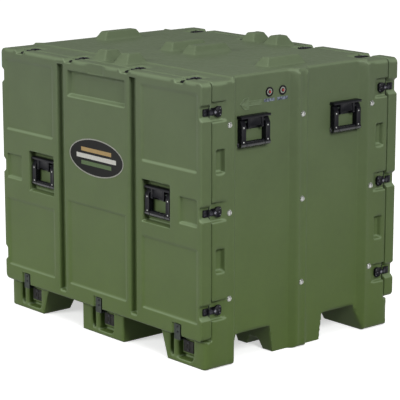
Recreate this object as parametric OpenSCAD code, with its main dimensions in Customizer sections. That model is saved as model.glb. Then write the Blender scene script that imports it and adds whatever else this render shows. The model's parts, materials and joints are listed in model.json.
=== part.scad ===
// Pallet-sized hard equipment case with front and rear lids.
// A moulded tub stands on nine feet with fork tunnels between them. Each lid is held by
// ten turn latches and lifts off straight along Y. Four handles hang on the sides and two on each lid.
// Millimetres, +Z up, the origin on the ground under the middle of the case, front lid towards -Y.

/* [Case] */
// Width of the moulded case
case_w = 1270; // [1150:10:1400]
// Depth over both closed lids
case_d = 1030; // [950:10:1200]
// Height of the top of the lids and rims
rim_top = 1100; // [1000:10:1200]
// Moulded wall
wall = 10; // [8:0.5:12]
// Radius of the outside corners
corner_r = 22; // [16:1:26]
// Rise of the deck above the rims
deck_rise = 6; // [4:1:8]

/* [Side walls] */
// Depth of the side panels behind the rims
panel_depth = 30; // [26:0.5:34]
// Depth of the bolt channels in the rim bands and ribs
channel_depth = 4; // [2:0.5:6]
// Width of the slope beside a panel
slope_w = 28; // [22:1:34]
// Height of the grip pockets in the rim bands
grip_h = 95; // [80:1:110]
// Width of the grip pockets
grip_w = 46; // [36:1:50]
// Depth of the grip pockets
grip_depth = 24; // [16:1:26]
// Space from a side handle to the slope beside it
handle_side_gap = 8; // [5:1:20]

/* [Lids] */
// Depth of a lid
lid_d = 48; // [43:1:54]
// Gap between lid and tub, filled by the gasket
seal_gap = 5; // [4:0.5:6]
// Width of the lid rim
rim_w = 31; // [28:0.5:36]
// Front wall of a lid
lid_skin = 13; // [12:0.5:15]
// Distance from the middle to the centre of a vertical groove
groove_x = 230; // [205:1:250]
// Width of the vertical grooves
groove_w = 43; // [34:1:48]
// Depth of the vertical grooves
groove_depth = 25; // [18:1:27]
// Depth of the shallow panels
panel_sink = 6; // [3:0.5:7]
// Depth of the small square recesses
square_sink = 12; // [8:0.5:14]
// Size of the small square recesses
square_size = 104; // [90:1:108]
// Depth of the deep top panel
label_sink = 20; // [14:1:24]
// Width of the oval nameplate
badge_w = 345; // [300:1:350]
// Height of the oval nameplate
badge_h = 150; // [120:1:160]

/* [Feet and stacking] */
// Clear height of the fork tunnels
tunnel_h = 108; // [98:1:118]
// Half width of the middle feet, across the case
mid_foot_x = 134; // [122:1:146]
// Half width of the middle feet, front to rear
mid_foot_y = 141; // [130:1:150]
// Draft of the middle feet, front to rear
mid_draft = 14; // [6:1:20]
// Width of a corner foot under the tub floor
corner_foot_w = 267; // [245:1:290]
// Depth of a corner foot under the tub floor
corner_foot_d = 147; // [135:1:160]
// Depth of the middle feet at the front and rear under the tub floor
end_foot_d = 177; // [168:1:190]
// Distance that the feet reach out under the lids
foot_fore = 28; // [26:1:34]
// Draft of the outer tunnel walls over their height
tunnel_draft = 36; // [20:1:42]
// Height of the stacking lugs
lug_h = 36; // [28:1:38]
// Clearance of a lug in the pocket of the foot above it
lug_clear = 5; // [3:0.5:6]
// Distance of the side lugs from the case's side
lug_side = 133; // [120:1:146]
// Distance of the front and rear lugs from the rim
lug_end = 70; // [68:1:78]

/* [Latches] */
// Depth of the latch recesses
recess_depth = 15; // [13.5:0.5:18]
// Distance of the latch pivot behind the seal
pivot_u = 18; // [16:0.5:20]
// Radius of the turning wing
wing_r = 33; // [28:0.5:36]
// Reach of the hook past the seal
hook_reach = 9; // [8:0.5:11]
// Diameter of the latch pivot
pivot_d = 10; // [8:0.5:11]
// Distance of the outer top latches from the corner
latch_edge = 129; // [110:1:140]
// Distance of the inner top latches from the middle
latch_inner = 178; // [162:1:196]
// Pitch of the side latches
latch_pitch = 378; // [340:1:400]

/* [Handles] */
// Width of a handle
handle_w = 150; // [138:1:162]
// Height of a handle
handle_h = 120; // [112:1:134]
// Diameter of the grip
grip_d = 24; // [20:0.5:26]
// Diameter of the handle pins
pin_d = 8; // [6:0.5:9]
// Distance of a side handle's middle below the rims' top
side_handle_down = 207; // [185:1:230]
// Clearance beside a handle in its pocket
pocket_clear = 9; // [8:0.5:12]
// Clearance above and below a handle in its pocket
pocket_end_clear = 23; // [18:0.5:25]

/* [Rails and bolts] */
// Width of the inner rails
rail_w = 30; // [27:1:33]
// Depth of the inner rails
rail_depth = 25; // [20:1:28]
// Thickness of the rails
rail_t = 4; // [3:0.5:5]
// Pitch of the side bolts
bolt_pitch = 332; // [300:1:365]
// Shank diameter of the side bolts
bolt_d = 8; // [6:0.5:9]
// Head diameter of the side bolts
bolt_head_d = 19; // [17:0.5:22]
// Diameter of the fixing holes in the rails
rail_hole_d = 9; // [7:0.5:10]
// Pitch of the fixing holes in the rails
rail_hole_pitch = 50; // [40:1:60]

/* [Valves] */
// Diameter of a pressure valve's flange
valve_d = 37; // [32:0.5:40]
// Travel of a valve's push button
valve_travel = 3; // [2:0.25:3.5]

/* [Hidden] */
run_clear = 0.05;
bolt_clear = 0.25;
seat_clear = 0.5;
over = 1;
half_w = case_w / 2;
half_d = case_d / 2;
rim_y = half_d - lid_d - seal_gap;
seal_y = rim_y + seal_gap / 2;
floor_z = tunnel_h + wall;
lid_bottom = floor_z;
lid_h = rim_top - lid_bottom;
lid_mid = (rim_top + lid_bottom) / 2;
panel_x = half_w - panel_depth;
rim_flange = 20;
green = "#5b6b48";
black = "#1c1d22";
dark_steel = "#3a3d40";
bright_steel = "#c9cac8";

// Seal ring
gasket_inset = 19;
gasket_w = 9;
gasket_seat = 3;

// Rivets
rivet_d = 5;
rivet_head_d = 8;
rivet_head_h = 1.5;
rivet_l = 8;

// Latch parts, in heights above the recess floor
wing_clear = 1.5;
wing_face_gap = 1;
recess_half = wing_r + wing_clear;
recess_l = pivot_u + wing_r + 7;
recess_flare = 4;
ramp_start = pivot_u + wing_r + wing_clear;
ramp_l = 2 * recess_depth;
hook_r = pivot_u + hook_reach;
hook_side_clear = 2.4;
notch_half = sqrt(pow(hook_r, 2) - pow(pivot_u + seal_gap / 2, 2)) + hook_side_clear;
notch_flare = 11;
plate_t = 3;
rivet_gap = 0.5;
knob_low = plate_t + rivet_head_h + rivet_gap;
pivot_head_h = 1.7;
pivot_head_gap = 0.3;
knob_high = recess_depth - pivot_head_h - pivot_head_gap - seat_clear;
hub_d = pivot_d + 10;
hub_drop = rivet_head_h;
wing_side = pivot_u + seal_gap / 2 - wing_face_gap;
hook_low = knob_low + 2.5;
hook_neck = 12;
hook_w = 22;
hook_bar = 6;
hook_tip = 4;
hook_top_gap = 1;
hook_bar_rise = 0.5;
wing_hub_lap = 1;
keeper_lip_h = hook_low - seat_clear;
keeper_lip_t = 4;
keeper_lip_back = 2;
keeper_l = 30;
keeper_w = 27;
latch_edge_gap = 1.5;
keeper_near = seal_gap / 2 + latch_edge_gap;
base_l = pivot_u + 28;
base_w = 28;
base_near = seal_gap / 2 + latch_edge_gap;
base_rivet_u = base_near + base_l - 7;
base_rivet_v = 9;
keeper_rivet_u = keeper_near + keeper_l - 8;
keeper_rivet_v = 7;
pivot_head_d = pivot_d + 5;

// Inner rails and grip pockets in the rim bands, from the latch recesses towards the middle
rail_recess_gap = 4;
rail_edge_gap = 2.65;
grip_wall = 6;
grip_draft = 7;
grip_rail_gap = 2;
slope_shift = tan(atan(panel_depth / slope_w) / 2);
slope_inner = wall * slope_shift;
rail_y = seal_y - seal_gap / 2 - recess_l - wall - rail_recess_gap - rail_w / 2;
band_y = rail_y - rail_w / 2 - rail_edge_gap - slope_inner;
rib_half = rail_w / 2 + rail_edge_gap + slope_inner;
grip_y = rail_y + rail_w / 2 + grip_rail_gap + grip_wall + grip_w / 2;
grip_z = latch_pitch / 2;

// Each latch: name, place of the seal line over the recess floor, turn to its wall, turn to its lid
ENDS = [["front", -1, 0], ["rear", 1, 180]];
top_latch_x = [-(half_w - latch_edge), -latch_inner, latch_inner, half_w - latch_edge];
side_latch_z = [for (i = [-1, 0, 1]) lid_mid + i * latch_pitch];
function top_latches(e) = [for (i = [0:3])
    [str(e[0], "_top_latch_", i + 1), [top_latch_x[i], e[1] * seal_y, rim_top - recess_depth], 0, e[2]]];
function side_latches(e, side, sx) = [for (i = [0:2])
    [str(e[0], "_", side, "_latch_", i + 1),
     [sx * (half_w - recess_depth), e[1] * seal_y, side_latch_z[i]], sx * 90, e[2]]];
function end_latches(e) = concat(top_latches(e), side_latches(e, "right", 1), side_latches(e, "left", -1));
FRONT_LATCHES = end_latches(ENDS[0]);
REAR_LATCHES = end_latches(ENDS[1]);
LATCHES = concat(FRONT_LATCHES, REAR_LATCHES);

// Handle parts, measured from the middle of the seat
grip_back = 3;
axis_out = grip_d / 2 + grip_back;
handle_d = axis_out + grip_d / 2;
arm_w = 22;
arm_t = grip_d - 2;
arm_side = 3;
arm_out = handle_w / 2 - arm_side;
arm_in = arm_out - arm_w;
hood_h = 10;
hood_gap = 3;
axis_up = handle_h / 2 - hood_h - arm_t / 2 - hood_gap;
knuckle_half = arm_in - 20;
knuckle_out = axis_out + pin_d / 2 + 5;
knuckle_low = axis_up - 22;
knuckle_high = axis_up + 10;
plate_half = arm_in - 4;
plate_low = axis_up - 30;
plate_rivet_x = (knuckle_half + plate_half) / 2;
plate_rivet_low = plate_low + 7;
plate_rivet_high = handle_h / 2 - hood_h - rivet_head_d / 2 - 1;
pin_end = 1;

// Lid face, in margins from the grooves, the sides, the top, the bottom and mid height
column_gap = 32;
column_edge = 26;
centre_gap = 24;
top_margin = 43;
bottom_margin = 64;
upper_rise = 152;
lower_drop = 137;
centre_drop = 79;
label_h = 106;
column_in = groove_x + groove_w / 2 + column_gap;
column_out = half_w - column_edge;
centre_half = groove_x - groove_w / 2 - centre_gap;
upper_low = lid_mid + upper_rise;
upper_high = rim_top - top_margin;
lower_low = lid_bottom + bottom_margin;
lower_high = lid_mid - lower_drop;
label_low = upper_high - label_h;
centre_low_high = lid_mid - centre_drop;
groove_end = 25;
groove_draft = 5;
pocket_draft = 4;
square_draft = 6;
label_draft = 10;
badge_rise = 118;
badge_z = lid_mid + badge_rise;
badge_t = 2;
badge_sides = 96;
panel_bevel = 6;
pad_w = 104;
pad_sink = 3;
lid_shell = 7;
pocket_w = handle_w + 2 * pocket_clear;
pocket_h = handle_h + 2 * pocket_end_clear;

// Each handle: name, middle of its seat on the wall, turn about Z from facing front
side_handle_y = band_y - slope_w - handle_side_gap - handle_w / 2;
side_handle_z = rim_top - side_handle_down;
lid_handle_x = column_in + pocket_w / 2;
lid_pocket_room = 7;
lid_pocket_depth = handle_d + lid_pocket_room;
lid_handle_y = half_d - lid_pocket_depth;
lid_handle_z = lid_mid;
SIDE_HANDLES = [
    ["right_front_handle", [panel_x, -side_handle_y, side_handle_z], 90],
    ["right_rear_handle", [panel_x, side_handle_y, side_handle_z], 90],
    ["left_front_handle", [-panel_x, -side_handle_y, side_handle_z], -90],
    ["left_rear_handle", [-panel_x, side_handle_y, side_handle_z], -90]];
FRONT_HANDLES = [
    ["front_lid_left_handle", [-lid_handle_x, -lid_handle_y, lid_handle_z], 0],
    ["front_lid_right_handle", [lid_handle_x, -lid_handle_y, lid_handle_z], 0]];
REAR_HANDLES = [
    ["rear_lid_left_handle", [-lid_handle_x, lid_handle_y, lid_handle_z], 180],
    ["rear_lid_right_handle", [lid_handle_x, lid_handle_y, lid_handle_z], 180]];
HANDLES = concat(SIDE_HANDLES, FRONT_HANDLES, REAR_HANDLES);

// Tongues under the lids and strike plates in the feet
tunnel_out_x = half_w - corner_foot_w;
tunnel_out_y = rim_y - corner_foot_d;
end_foot_y = rim_y - end_foot_d;
foot_y = rim_y + foot_fore;
foot_top = lid_bottom - seal_gap;
foot_r = 24;
foot_outer_wall = 77;
foot_inner_wall = 16;
foot_recess_w = corner_foot_w - tunnel_draft - foot_outer_wall - foot_inner_wall;
foot_recess_low = 18;
foot_recess_depth = 40;
foot_recess_r = 22;
tongue_edge = foot_outer_wall + foot_recess_w / 2;
tongue_x = [-(half_w - tongue_edge), 0, half_w - tongue_edge];
tongue_w = 35;
tongue_t = 5;
tongue_h = 43;
tongue_notch_w = 56;
tongue_notch_depth = 8;
tongue_notch_top = 4;
tongue_rivet_low = 12;
tongue_rivet_high = 32;
ridge_w = 28;
ridge_in = 29;
ridge_x = ridge_in - foot_recess_w / 2;
ridge_face = 4;
ridge_drop = 14;
ridge_top = tunnel_h - ridge_drop;
strike_w = 58;
strike_h = 46;
strike_t = 4;
strike_side = 11;
strike_x = foot_recess_w / 2 - strike_side - strike_w / 2;
strike_drop = 36;
strike_z = tunnel_h - strike_drop;
strike_rivet = 14;
strike_face = 14;
strike_edge = 8;
tongue_rise = 6;
tongue_low = ridge_top + tongue_rise;
tongue_face_y = -half_d + tongue_notch_depth;
tongue_end_y = -foot_y + strike_face - strike_t - seat_clear;

// Rails and bolts
rail_end = 10;
rail_low = floor_z + rim_w + rail_end;
rail_high = rim_top - rim_w - rail_end;
bolt_drop = 11;
bolt_z = [for (i = [-1, 0, 1]) lid_mid - bolt_drop + i * bolt_pitch];
bolt_y = [-rail_y, 0, rail_y];
washer_t = 1.5;
washer_rim = 3;
washer_d = bolt_head_d + washer_rim;
bolt_head_h = 5;
slot_w = 2.4;
slot_depth = 1.6;
nut_t = 6.5;
nut_rim = 7;
nut_d = bolt_d + nut_rim;
thread_end = 2;
rail_wall_x = half_w - channel_depth - wall;
rail_hole_end = 20;
rail_hole_wall = 6;
rail_hole_count = floor((rail_high - rail_low - 2 * rail_hole_end) / rail_hole_pitch) + 1;
rail_hole_start = (rail_high + rail_low - (rail_hole_count - 1) * rail_hole_pitch) / 2;
rail_hole_gap = (bolt_d + rail_hole_d) / 2 + rail_hole_wall;
function near_bolt(z) = min([for (b = bolt_z) abs(z - b)]) < rail_hole_gap;
rail_hole_z = [for (i = [0:rail_hole_count - 1])
    let (z = rail_hole_start + i * rail_hole_pitch) if (!near_bolt(z)) z];

// Valves, labels and arrow on the right side
valve_pitch = 68;
valve_rib_gap = 35;
valve_first = rib_half + slope_w + valve_rib_gap;
valve_y = [-valve_first - valve_pitch, -valve_first];
valve_down = 72;
valve_z = rim_top - valve_down;
valve_flange_t = 4;
valve_barrel_d = 22;
valve_inside = 14;
valve_nut_t = 6;
valve_nut_d = 34;
button_d = 12;
tag_w = 54;
tag_h = 12;
tag_t = 1;
tag_gap = 6.5;
tag_z = valve_z - valve_d / 2 - tag_gap - tag_h / 2;
arrow_l = 110;
arrow_h = 44;
arrow_bar = 18;
arrow_t = 2.5;
arrow_gap = 11;
arrow_y = valve_y[0] - tag_w / 2 - arrow_gap - arrow_l / 2;
arrow_down = 106;
arrow_z = rim_top - arrow_down;

// Lugs: width, length, x, y and what their pocket is longer, so that the outer ones run through the foot
lug_out_w = 86;
lug_in_w = 92;
lug_foot_end = 17;
lug_foot_side = 18;
lug_l = 2 * (mid_foot_y - mid_draft - lug_foot_end);
lug_end_l = 116;
lug_out_x = half_w - lug_side;
lug_in_x = mid_foot_x - lug_in_w / 2 - lug_foot_side;
lug_end_y = rim_y - lug_end;
lug_inset_x = 24;
lug_inset_y = 30;
pocket_start = 0.01;
lug_through = 2 * (mid_foot_y + over + lug_inset_y - lug_clear) - lug_l;
LUGS = concat(
    [for (s = [-1, 1]) [lug_out_w, lug_l, s * lug_out_x, 0, lug_through]],
    [for (s = [-1, 1]) [lug_in_w, lug_l, s * lug_in_x, 0, 0]],
    [for (s = [-1, 1], e = [-1, 1]) [lug_in_w, lug_end_l, s * lug_in_x, e * lug_end_y, 0]]);

function names(list) = [for (item = list) item[0]];
$fn = 48;

// Shared shapes

// Block that narrows upwards, its base in the plane z = 0
module frustum(w, l, h, inset_x, inset_y) {
    a = w / 2;
    b = l / 2;
    c = a - inset_x;
    d = b - inset_y;
    base = [[-a, -b, 0], [a, -b, 0], [a, b, 0], [-a, b, 0]];
    top = [[-c, -d, h], [c, -d, h], [c, d, h], [-c, d, h]];
    polyhedron(
        points = concat(base, top),
        faces = [[0, 1, 2, 3], [7, 6, 5, 4], [4, 5, 1, 0], [5, 6, 2, 1], [6, 7, 3, 2], [7, 4, 0, 3]]);
}

// Cutter for a pocket with drafted walls in a face that looks towards -Y
module face_pocket(w, h, depth, draft) {
    reach = depth + over;
    flare = draft * over / depth;
    translate([0, -over, 0])
        rotate([-90, 0, 0])
            frustum(w + 2 * flare, h + 2 * flare, reach, draft + flare, draft + flare);
}

// Block between two corners
module bar(x0, x1, y0, y1, z0, z1) {
    translate([x0, y0, z0])
        cube([x1 - x0, y1 - y0, z1 - z0]);
}

// Rectangle with round corners, lower left corner at (x0, z0)
module round_rect(x0, z0, x1, z1, r) {
    translate([x0 + r, z0])
        square([x1 - x0 - 2 * r, z1 - z0]);
    translate([x0, z0 + r])
        square([x1 - x0, z1 - z0 - 2 * r]);
    for (x = [x0 + r, x1 - r], z = [z0 + r, z1 - r])
        translate([x, z])
            circle(r);
}

// Extrudes an outline drawn in X and Z along Y
module along_y(y0, y1) {
    translate([0, y1, 0])
        rotate([90, 0, 0])
            linear_extrude(y1 - y0)
                children();
}

// Rod along X, centred at x = 0
module rod_x(d, l) {
    rotate([0, 90, 0])
        cylinder(d = d, h = l, center = true);
}

// Places a latch shape: seal line at y = 0, tub towards +Y, wall outwards +Z
module at_latch(l) {
    translate(l[1])
        rotate([0, l[2], 0])
            rotate([0, 0, l[3]])
                children();
}

// Places a handle shape: seat at y = 0, outwards -Y
module at_handle(h) {
    translate(h[1])
        rotate([0, 0, h[2]])
            children();
}

// Draws the children at the rear instead of the front
module at_rear() {
    rotate([0, 0, 180])
        children();
}

// Rivet with its head on z = 0 and its shank below
module rivet() {
    cylinder(d = rivet_head_d, h = rivet_head_h);
    translate([0, 0, -rivet_l])
        cylinder(d = rivet_d, h = rivet_l + over);
}

// Hole for a rivet whose head sits at z = 0
module rivet_hole() {
    translate([0, 0, -rivet_l - over])
        cylinder(d = rivet_d + 2 * bolt_clear, h = rivet_l + 3 * over);
}

// Places for the rivets of one latch base, of one keeper and of one handle plate
module at_base_rivets() {
    for (s = [-1, 1])
        translate([s * base_rivet_v, base_rivet_u, plate_t])
            children();
}
module at_keeper_rivets() {
    for (s = [-1, 1])
        translate([s * keeper_rivet_v, -keeper_rivet_u, plate_t])
            children();
}
module at_plate_rivets() {
    for (s = [-1, 1], z = [plate_rivet_low, plate_rivet_high])
        translate([s * plate_rivet_x, -plate_t, z])
            rotate([90, 0, 0])
                children();
}
module at_tongue_rivets() {
    for (x = tongue_x, z = [tongue_rivet_low, tongue_rivet_high])
        translate([x, tongue_face_y - tongue_t, lid_bottom + z])
            rotate([90, 0, 0])
                children();
}
module at_strike_rivets() {
    for (x = tongue_x, s = [-1, 1])
        translate([x + strike_x, -foot_y + strike_face - strike_t, strike_z + s * strike_rivet])
            rotate([90, 0, 0])
                children();
}

// Tub

// Right-hand edge of the tub seen from above, moved inwards by inset, with bands and rib sunk by sink
function side_points(inset, sink) = let (
    k = inset * slope_shift,
    x_out = half_w - inset - sink,
    x_in = panel_x - inset,
    quarter = [[x_out, rim_y], [x_out, band_y + k], [x_in, band_y - slope_w + k],
        [x_in, rib_half + slope_w - k], [x_out, rib_half - k]])
    concat([for (p = quarter) [p[0], -p[1]]], [for (i = [4:-1:0]) quarter[i]]);

module tub_outline(inset, sink) {
    right = side_points(inset, sink);
    left = [for (i = [len(right) - 1:-1:0]) [-right[i][0], right[i][1]]];
    polygon(concat(right, left));
}

module tub_block() {
    intersection() {
        linear_extrude(rim_top)
            tub_outline(0, 0);
        along_y(-rim_y, rim_y)
            round_rect(-half_w, 0, half_w, rim_top, corner_r);
    }
    translate([0, 0, rim_top - wall / 2])
        linear_extrude(deck_rise + wall / 2)
            intersection() {
                tub_outline(deck_rise, 0);
                square([case_w, 2 * band_y], center = true);
            }
}

// Ends of the feet, which reach out under the lids
module foot_ends() {
    for (turn = [0, 180])
        rotate([0, 0, turn])
            intersection() {
                linear_extrude(foot_top)
                    round_rect(-half_w, -foot_y, half_w, -rim_y + 2 * foot_r, foot_r);
                along_y(-foot_y - over, 0)
                    round_rect(-half_w, 0, half_w, rim_top, corner_r);
            }
}

module tub_cavity() {
    translate([0, 0, floor_z])
        linear_extrude(rim_top - wall - floor_z)
            intersection() {
                tub_outline(wall, channel_depth);
                square([case_w, 2 * (rim_y - rim_flange)], center = true);
            }
    bar(-half_w + rim_w, half_w - rim_w, -rim_y - over, rim_y + over, lid_bottom + rim_w, rim_top - rim_w);
}

// Wall behind a latch recess, inside the tub
module recess_backing() {
    w = recess_half + recess_flare + wall;
    bar(-w, w, seal_gap / 2, seal_gap / 2 + recess_l + wall, -wall, recess_depth - wall / 2);
}

// Recess of one latch, with a ramp at its inner end
module recess_cut() {
    top = recess_depth + over;
    wide = recess_half + recess_flare * top / recess_depth;
    ramp_end = ramp_start + ramp_l * top / recess_depth;
    intersection() {
        along_y(0, ramp_end)
            polygon([[-recess_half, 0], [recess_half, 0], [wide, top], [-wide, top]]);
        rotate([90, 0, 90])
            linear_extrude(2 * wide + over, center = true)
                polygon([[0, 0], [ramp_start, 0], [ramp_end, top], [0, top]]);
    }
}

// Channels that the side bolts lie in
module bolt_channels() {
    for (sx = [-1, 1], y = bolt_y)
        translate([sx * half_w, y, rim_top / 2])
            cube([2 * channel_depth, rail_w, rim_top + 2 * over], center = true);
}

module at_grips() {
    for (sx = [-1, 1], sy = [-1, 1], sz = [-1, 1])
        translate([sx * half_w, sy * grip_y, lid_mid + sz * grip_z])
            rotate([0, 0, sx * 90])
                children();
}

module grip_backing() {
    x = grip_w / 2 + grip_wall;
    z = grip_h / 2 + grip_wall;
    bar(-x, x, wall / 2, grip_depth + grip_wall, -z, z);
}

module tunnels() {
    top = tunnel_h;
    near = mid_foot_y - mid_draft;
    far = tunnel_out_y + tunnel_draft;
    for (s = [-1, 1]) {
        along_y(-half_d, half_d)
            polygon([[s * mid_foot_x, -over], [s * mid_foot_x, top], [s * tunnel_out_x, top],
                [s * (tunnel_out_x + tunnel_draft), 0], [s * (tunnel_out_x + tunnel_draft), -over]]);
        difference() {
            rotate([0, 0, 90])
                along_y(-half_w - over, half_w + over)
                    polygon([[s * near, -over], [s * near, 0], [s * mid_foot_y, top],
                        [s * tunnel_out_y, top], [s * far, 0], [s * far, -over]]);
            translate([-mid_foot_x, s < 0 ? -rim_y : end_foot_y, -2 * over])
                cube([2 * mid_foot_x, end_foot_d, tunnel_h + 4 * over]);
        }
    }
}

// Pockets under the feet that take the lugs of a case below
module lug_pockets() {
    grow = 2 * lug_clear;
    for (l = LUGS)
        translate([l[2], l[3], -pocket_start])
            frustum(l[0] + grow, l[1] + grow + l[4], lug_h + lug_clear, lug_inset_x, lug_inset_y);
}

module lugs() {
    for (l = LUGS)
        translate([l[2], l[3], rim_top - wall / 2])
            frustum(l[0], l[1], lug_h + deck_rise + wall / 2, lug_inset_x, lug_inset_y);
}

// Recess in a foot's end face, open to the lid above, with a ridge and the strike plate's pad left standing
module foot_recess() {
    low = -foot_recess_w / 2;
    back = -foot_y + foot_recess_depth;
    difference() {
        union() {
            along_y(-foot_y - over, back) {
                round_rect(low, foot_recess_low, -low, tunnel_h, foot_recess_r);
                translate([low, tunnel_h - foot_recess_r])
                    square([foot_recess_w, foot_recess_r]);
            }
            bar(low, -low, -foot_y - over, -rim_y, tunnel_h - foot_recess_r, lid_bottom);
        }
        bar(ridge_x - ridge_w / 2, ridge_x + ridge_w / 2, -foot_y + ridge_face, back, 0, ridge_top);
        bar(strike_x - strike_w / 2 - strike_edge, -low, -foot_y + strike_face, back,
            strike_z - strike_h / 2 - strike_edge, tunnel_h);
    }
}

module gasket_ring(y0, y1, grow) {
    a = gasket_inset - grow;
    b = gasket_inset + gasket_w + grow;
    difference() {
        along_y(y0, y1)
            square_frame(a);
        along_y(y0 - over, y1 + over)
            square_frame(b);
    }
}

module square_frame(inset) {
    translate([-half_w + inset, lid_bottom + inset])
        square([case_w - 2 * inset, lid_h - 2 * inset]);
}

module arrow() {
    translate([panel_x - over, arrow_y, arrow_z])
        rotate([90, 0, 90])
            linear_extrude(arrow_t + over)
                polygon([[-arrow_l / 2, 0], [-arrow_l / 2 + arrow_h, arrow_h / 2],
                    [-arrow_l / 2 + arrow_h, arrow_bar / 2], [arrow_l / 2, arrow_bar / 2],
                    [arrow_l / 2, -arrow_bar / 2], [-arrow_l / 2 + arrow_h, -arrow_bar / 2],
                    [-arrow_l / 2 + arrow_h, -arrow_h / 2]]);
}

module at_bolts() {
    for (sx = [-1, 1], y = bolt_y, z = bolt_z)
        translate([sx * (half_w - channel_depth), y, z])
            rotate([0, sx * 90, 0])
                children();
}

module at_valves() {
    for (y = valve_y)
        translate([panel_x, y, valve_z])
            rotate([0, 90, 0])
                children();
}

module body_shell() {
    color(green)
        difference() {
            union() {
                difference() {
                    tub_block();
                    tub_cavity();
                }
                foot_ends();
                for (l = LATCHES)
                    at_latch(l)
                        recess_backing();
                at_grips()
                    grip_backing();
                lugs();
                arrow();
            }
            for (l = LATCHES)
                at_latch(l) {
                    recess_cut();
                    at_base_rivets()
                        rivet_hole();
                }
            at_grips()
                face_pocket(grip_w, grip_h, grip_depth, grip_draft);
            bolt_channels();
            tunnels();
            lug_pockets();
            for (turn = [0, 180])
                rotate([0, 0, turn]) {
                    for (x = tongue_x)
                        translate([x, 0, 0])
                            foot_recess();
                    at_strike_rivets()
                        rivet_hole();
                    gasket_ring(-rim_y - over, -rim_y + gasket_seat, 0);
                }
            for (h = SIDE_HANDLES)
                at_handle(h)
                    at_plate_rivets()
                        rivet_hole();
            at_bolts()
                translate([0, 0, -2 * wall])
                    cylinder(d = bolt_d + 2 * bolt_clear, h = 3 * wall);
            at_valves()
                translate([0, 0, -2 * wall])
                    cylinder(d = valve_barrel_d + 2 * bolt_clear, h = 3 * wall);
        }
}

// Lids

// Cutter for the notch that a latch crosses in the lid
module notch_cut() {
    top = recess_depth + over;
    wide = notch_half + notch_flare * top / recess_depth;
    along_y(-lid_d - seal_gap, 0)
        polygon([[-notch_half, 0], [notch_half, 0], [wide, top], [-wide, top]]);
}

// Deep hollows in the lid's face, grown to give the wall behind them or cut at their own size
module deep_pockets(grow) {
    more = 2 * grow;
    for (s = [-1, 1]) {
        translate([s * groove_x, 0, lid_mid])
            face_pocket(groove_w + more, lid_h - 2 * groove_end + more, groove_depth + grow, groove_draft);
        translate([s * lid_handle_x, 0, lid_handle_z])
            face_pocket(pocket_w + more, pocket_h + more, lid_pocket_depth + grow, pocket_draft);
        translate([s * (column_out - square_size / 2), 0, lid_mid])
            face_pocket(square_size + more, square_size + more, square_sink + grow, square_draft);
    }
    translate([0, 0, (label_low + upper_high) / 2])
        face_pocket(2 * centre_half + more, upper_high - label_low + more, label_sink + grow, label_draft);
}

module shallow_panels() {
    for (s = [-1, 1], z = [[upper_low, upper_high], [lower_low, lower_high]])
        translate([s * (column_in + column_out) / 2, 0, (z[0] + z[1]) / 2])
            face_pocket(column_out - column_in, z[1] - z[0], panel_sink, panel_bevel);
    translate([0, 0, (lower_low + centre_low_high) / 2])
        face_pocket(2 * centre_half, centre_low_high - lower_low, panel_sink, panel_bevel);
    translate([0, 0, rim_top])
        face_pocket(pad_w, 2 * (rim_top - upper_high), pad_sink, panel_bevel / 2);
}

module badge_outline(grow) {
    a = badge_w / 2 + grow;
    b = badge_h / 2 + grow;
    step = 360 / badge_sides;
    polygon([for (i = [0:badge_sides - 1]) [a * cos(i * step), b * sin(i * step)]]);
}

module badge_at(y0, y1, grow) {
    translate([0, 0, badge_z])
        along_y(y0, y1)
            badge_outline(grow);
}

module tongue_notches() {
    for (x = tongue_x)
        bar(x - tongue_notch_w / 2, x + tongue_notch_w / 2, -half_d - over, -half_d + tongue_notch_depth,
            lid_bottom - over, lid_bottom + tongue_h + tongue_notch_top);
}

module lid_shape(latches, handles) {
    difference() {
        union() {
            difference() {
                along_y(-half_d, -half_d + lid_d)
                    round_rect(-half_w, lid_bottom, half_w, rim_top, corner_r);
                bar(-half_w + rim_w, half_w - rim_w, -half_d + lid_skin, half_d,
                    lid_bottom + rim_w, rim_top - rim_w);
            }
            intersection() {
                translate([0, -half_d, 0])
                    deep_pockets(lid_shell);
                bar(-half_w + rim_w, half_w - rim_w, -half_d + over, half_d,
                    lid_bottom + rim_w - over, rim_top - rim_w + over);
            }
        }
        translate([0, -half_d, 0]) {
            deep_pockets(0);
            shallow_panels();
        }
        tongue_notches();
        at_tongue_rivets()
            rivet_hole();
        for (l = latches)
            at_latch(l) {
                notch_cut();
                at_keeper_rivets()
                    rivet_hole();
            }
        for (h = handles)
            at_handle(h)
                at_plate_rivets()
                    rivet_hole();
    }
}

module front_lid() {
    color(green)
        difference() {
            lid_shape(FRONT_LATCHES, FRONT_HANDLES);
            badge_at(-half_d - over, -half_d + badge_t + seat_clear, seat_clear);
        }
}

module rear_lid() {
    color(green)
        at_rear()
            lid_shape(FRONT_LATCHES, FRONT_HANDLES);
}

module nameplate() {
    color(black)
        badge_at(-half_d + seat_clear, -half_d + badge_t + seat_clear, 0);
}

module gasket() {
    gasket_ring(-rim_y - seal_gap, -rim_y + gasket_seat, 0);
}

module front_gasket() {
    color(black)
        gasket();
}

module rear_gasket() {
    color(black)
        at_rear()
            gasket();
}

// Tongue on the lid's lower edge, with a leg that reaches into the foot recess
module tongue() {
    out = tongue_face_y - tongue_t;
    bar(-tongue_w / 2, tongue_w / 2, out, tongue_face_y, tongue_low, lid_bottom + tongue_h);
    bar(-tongue_w / 2, tongue_w / 2, out, tongue_end_y, tongue_low, tongue_low + tongue_t);
}

module tongues() {
    difference() {
        for (x = tongue_x)
            translate([x, 0, 0])
                tongue();
        at_tongue_rivets()
            rivet_hole();
    }
}

module front_lid_tongues() {
    color(dark_steel)
        tongues();
}

module rear_lid_tongues() {
    color(dark_steel)
        at_rear()
            tongues();
}

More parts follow.
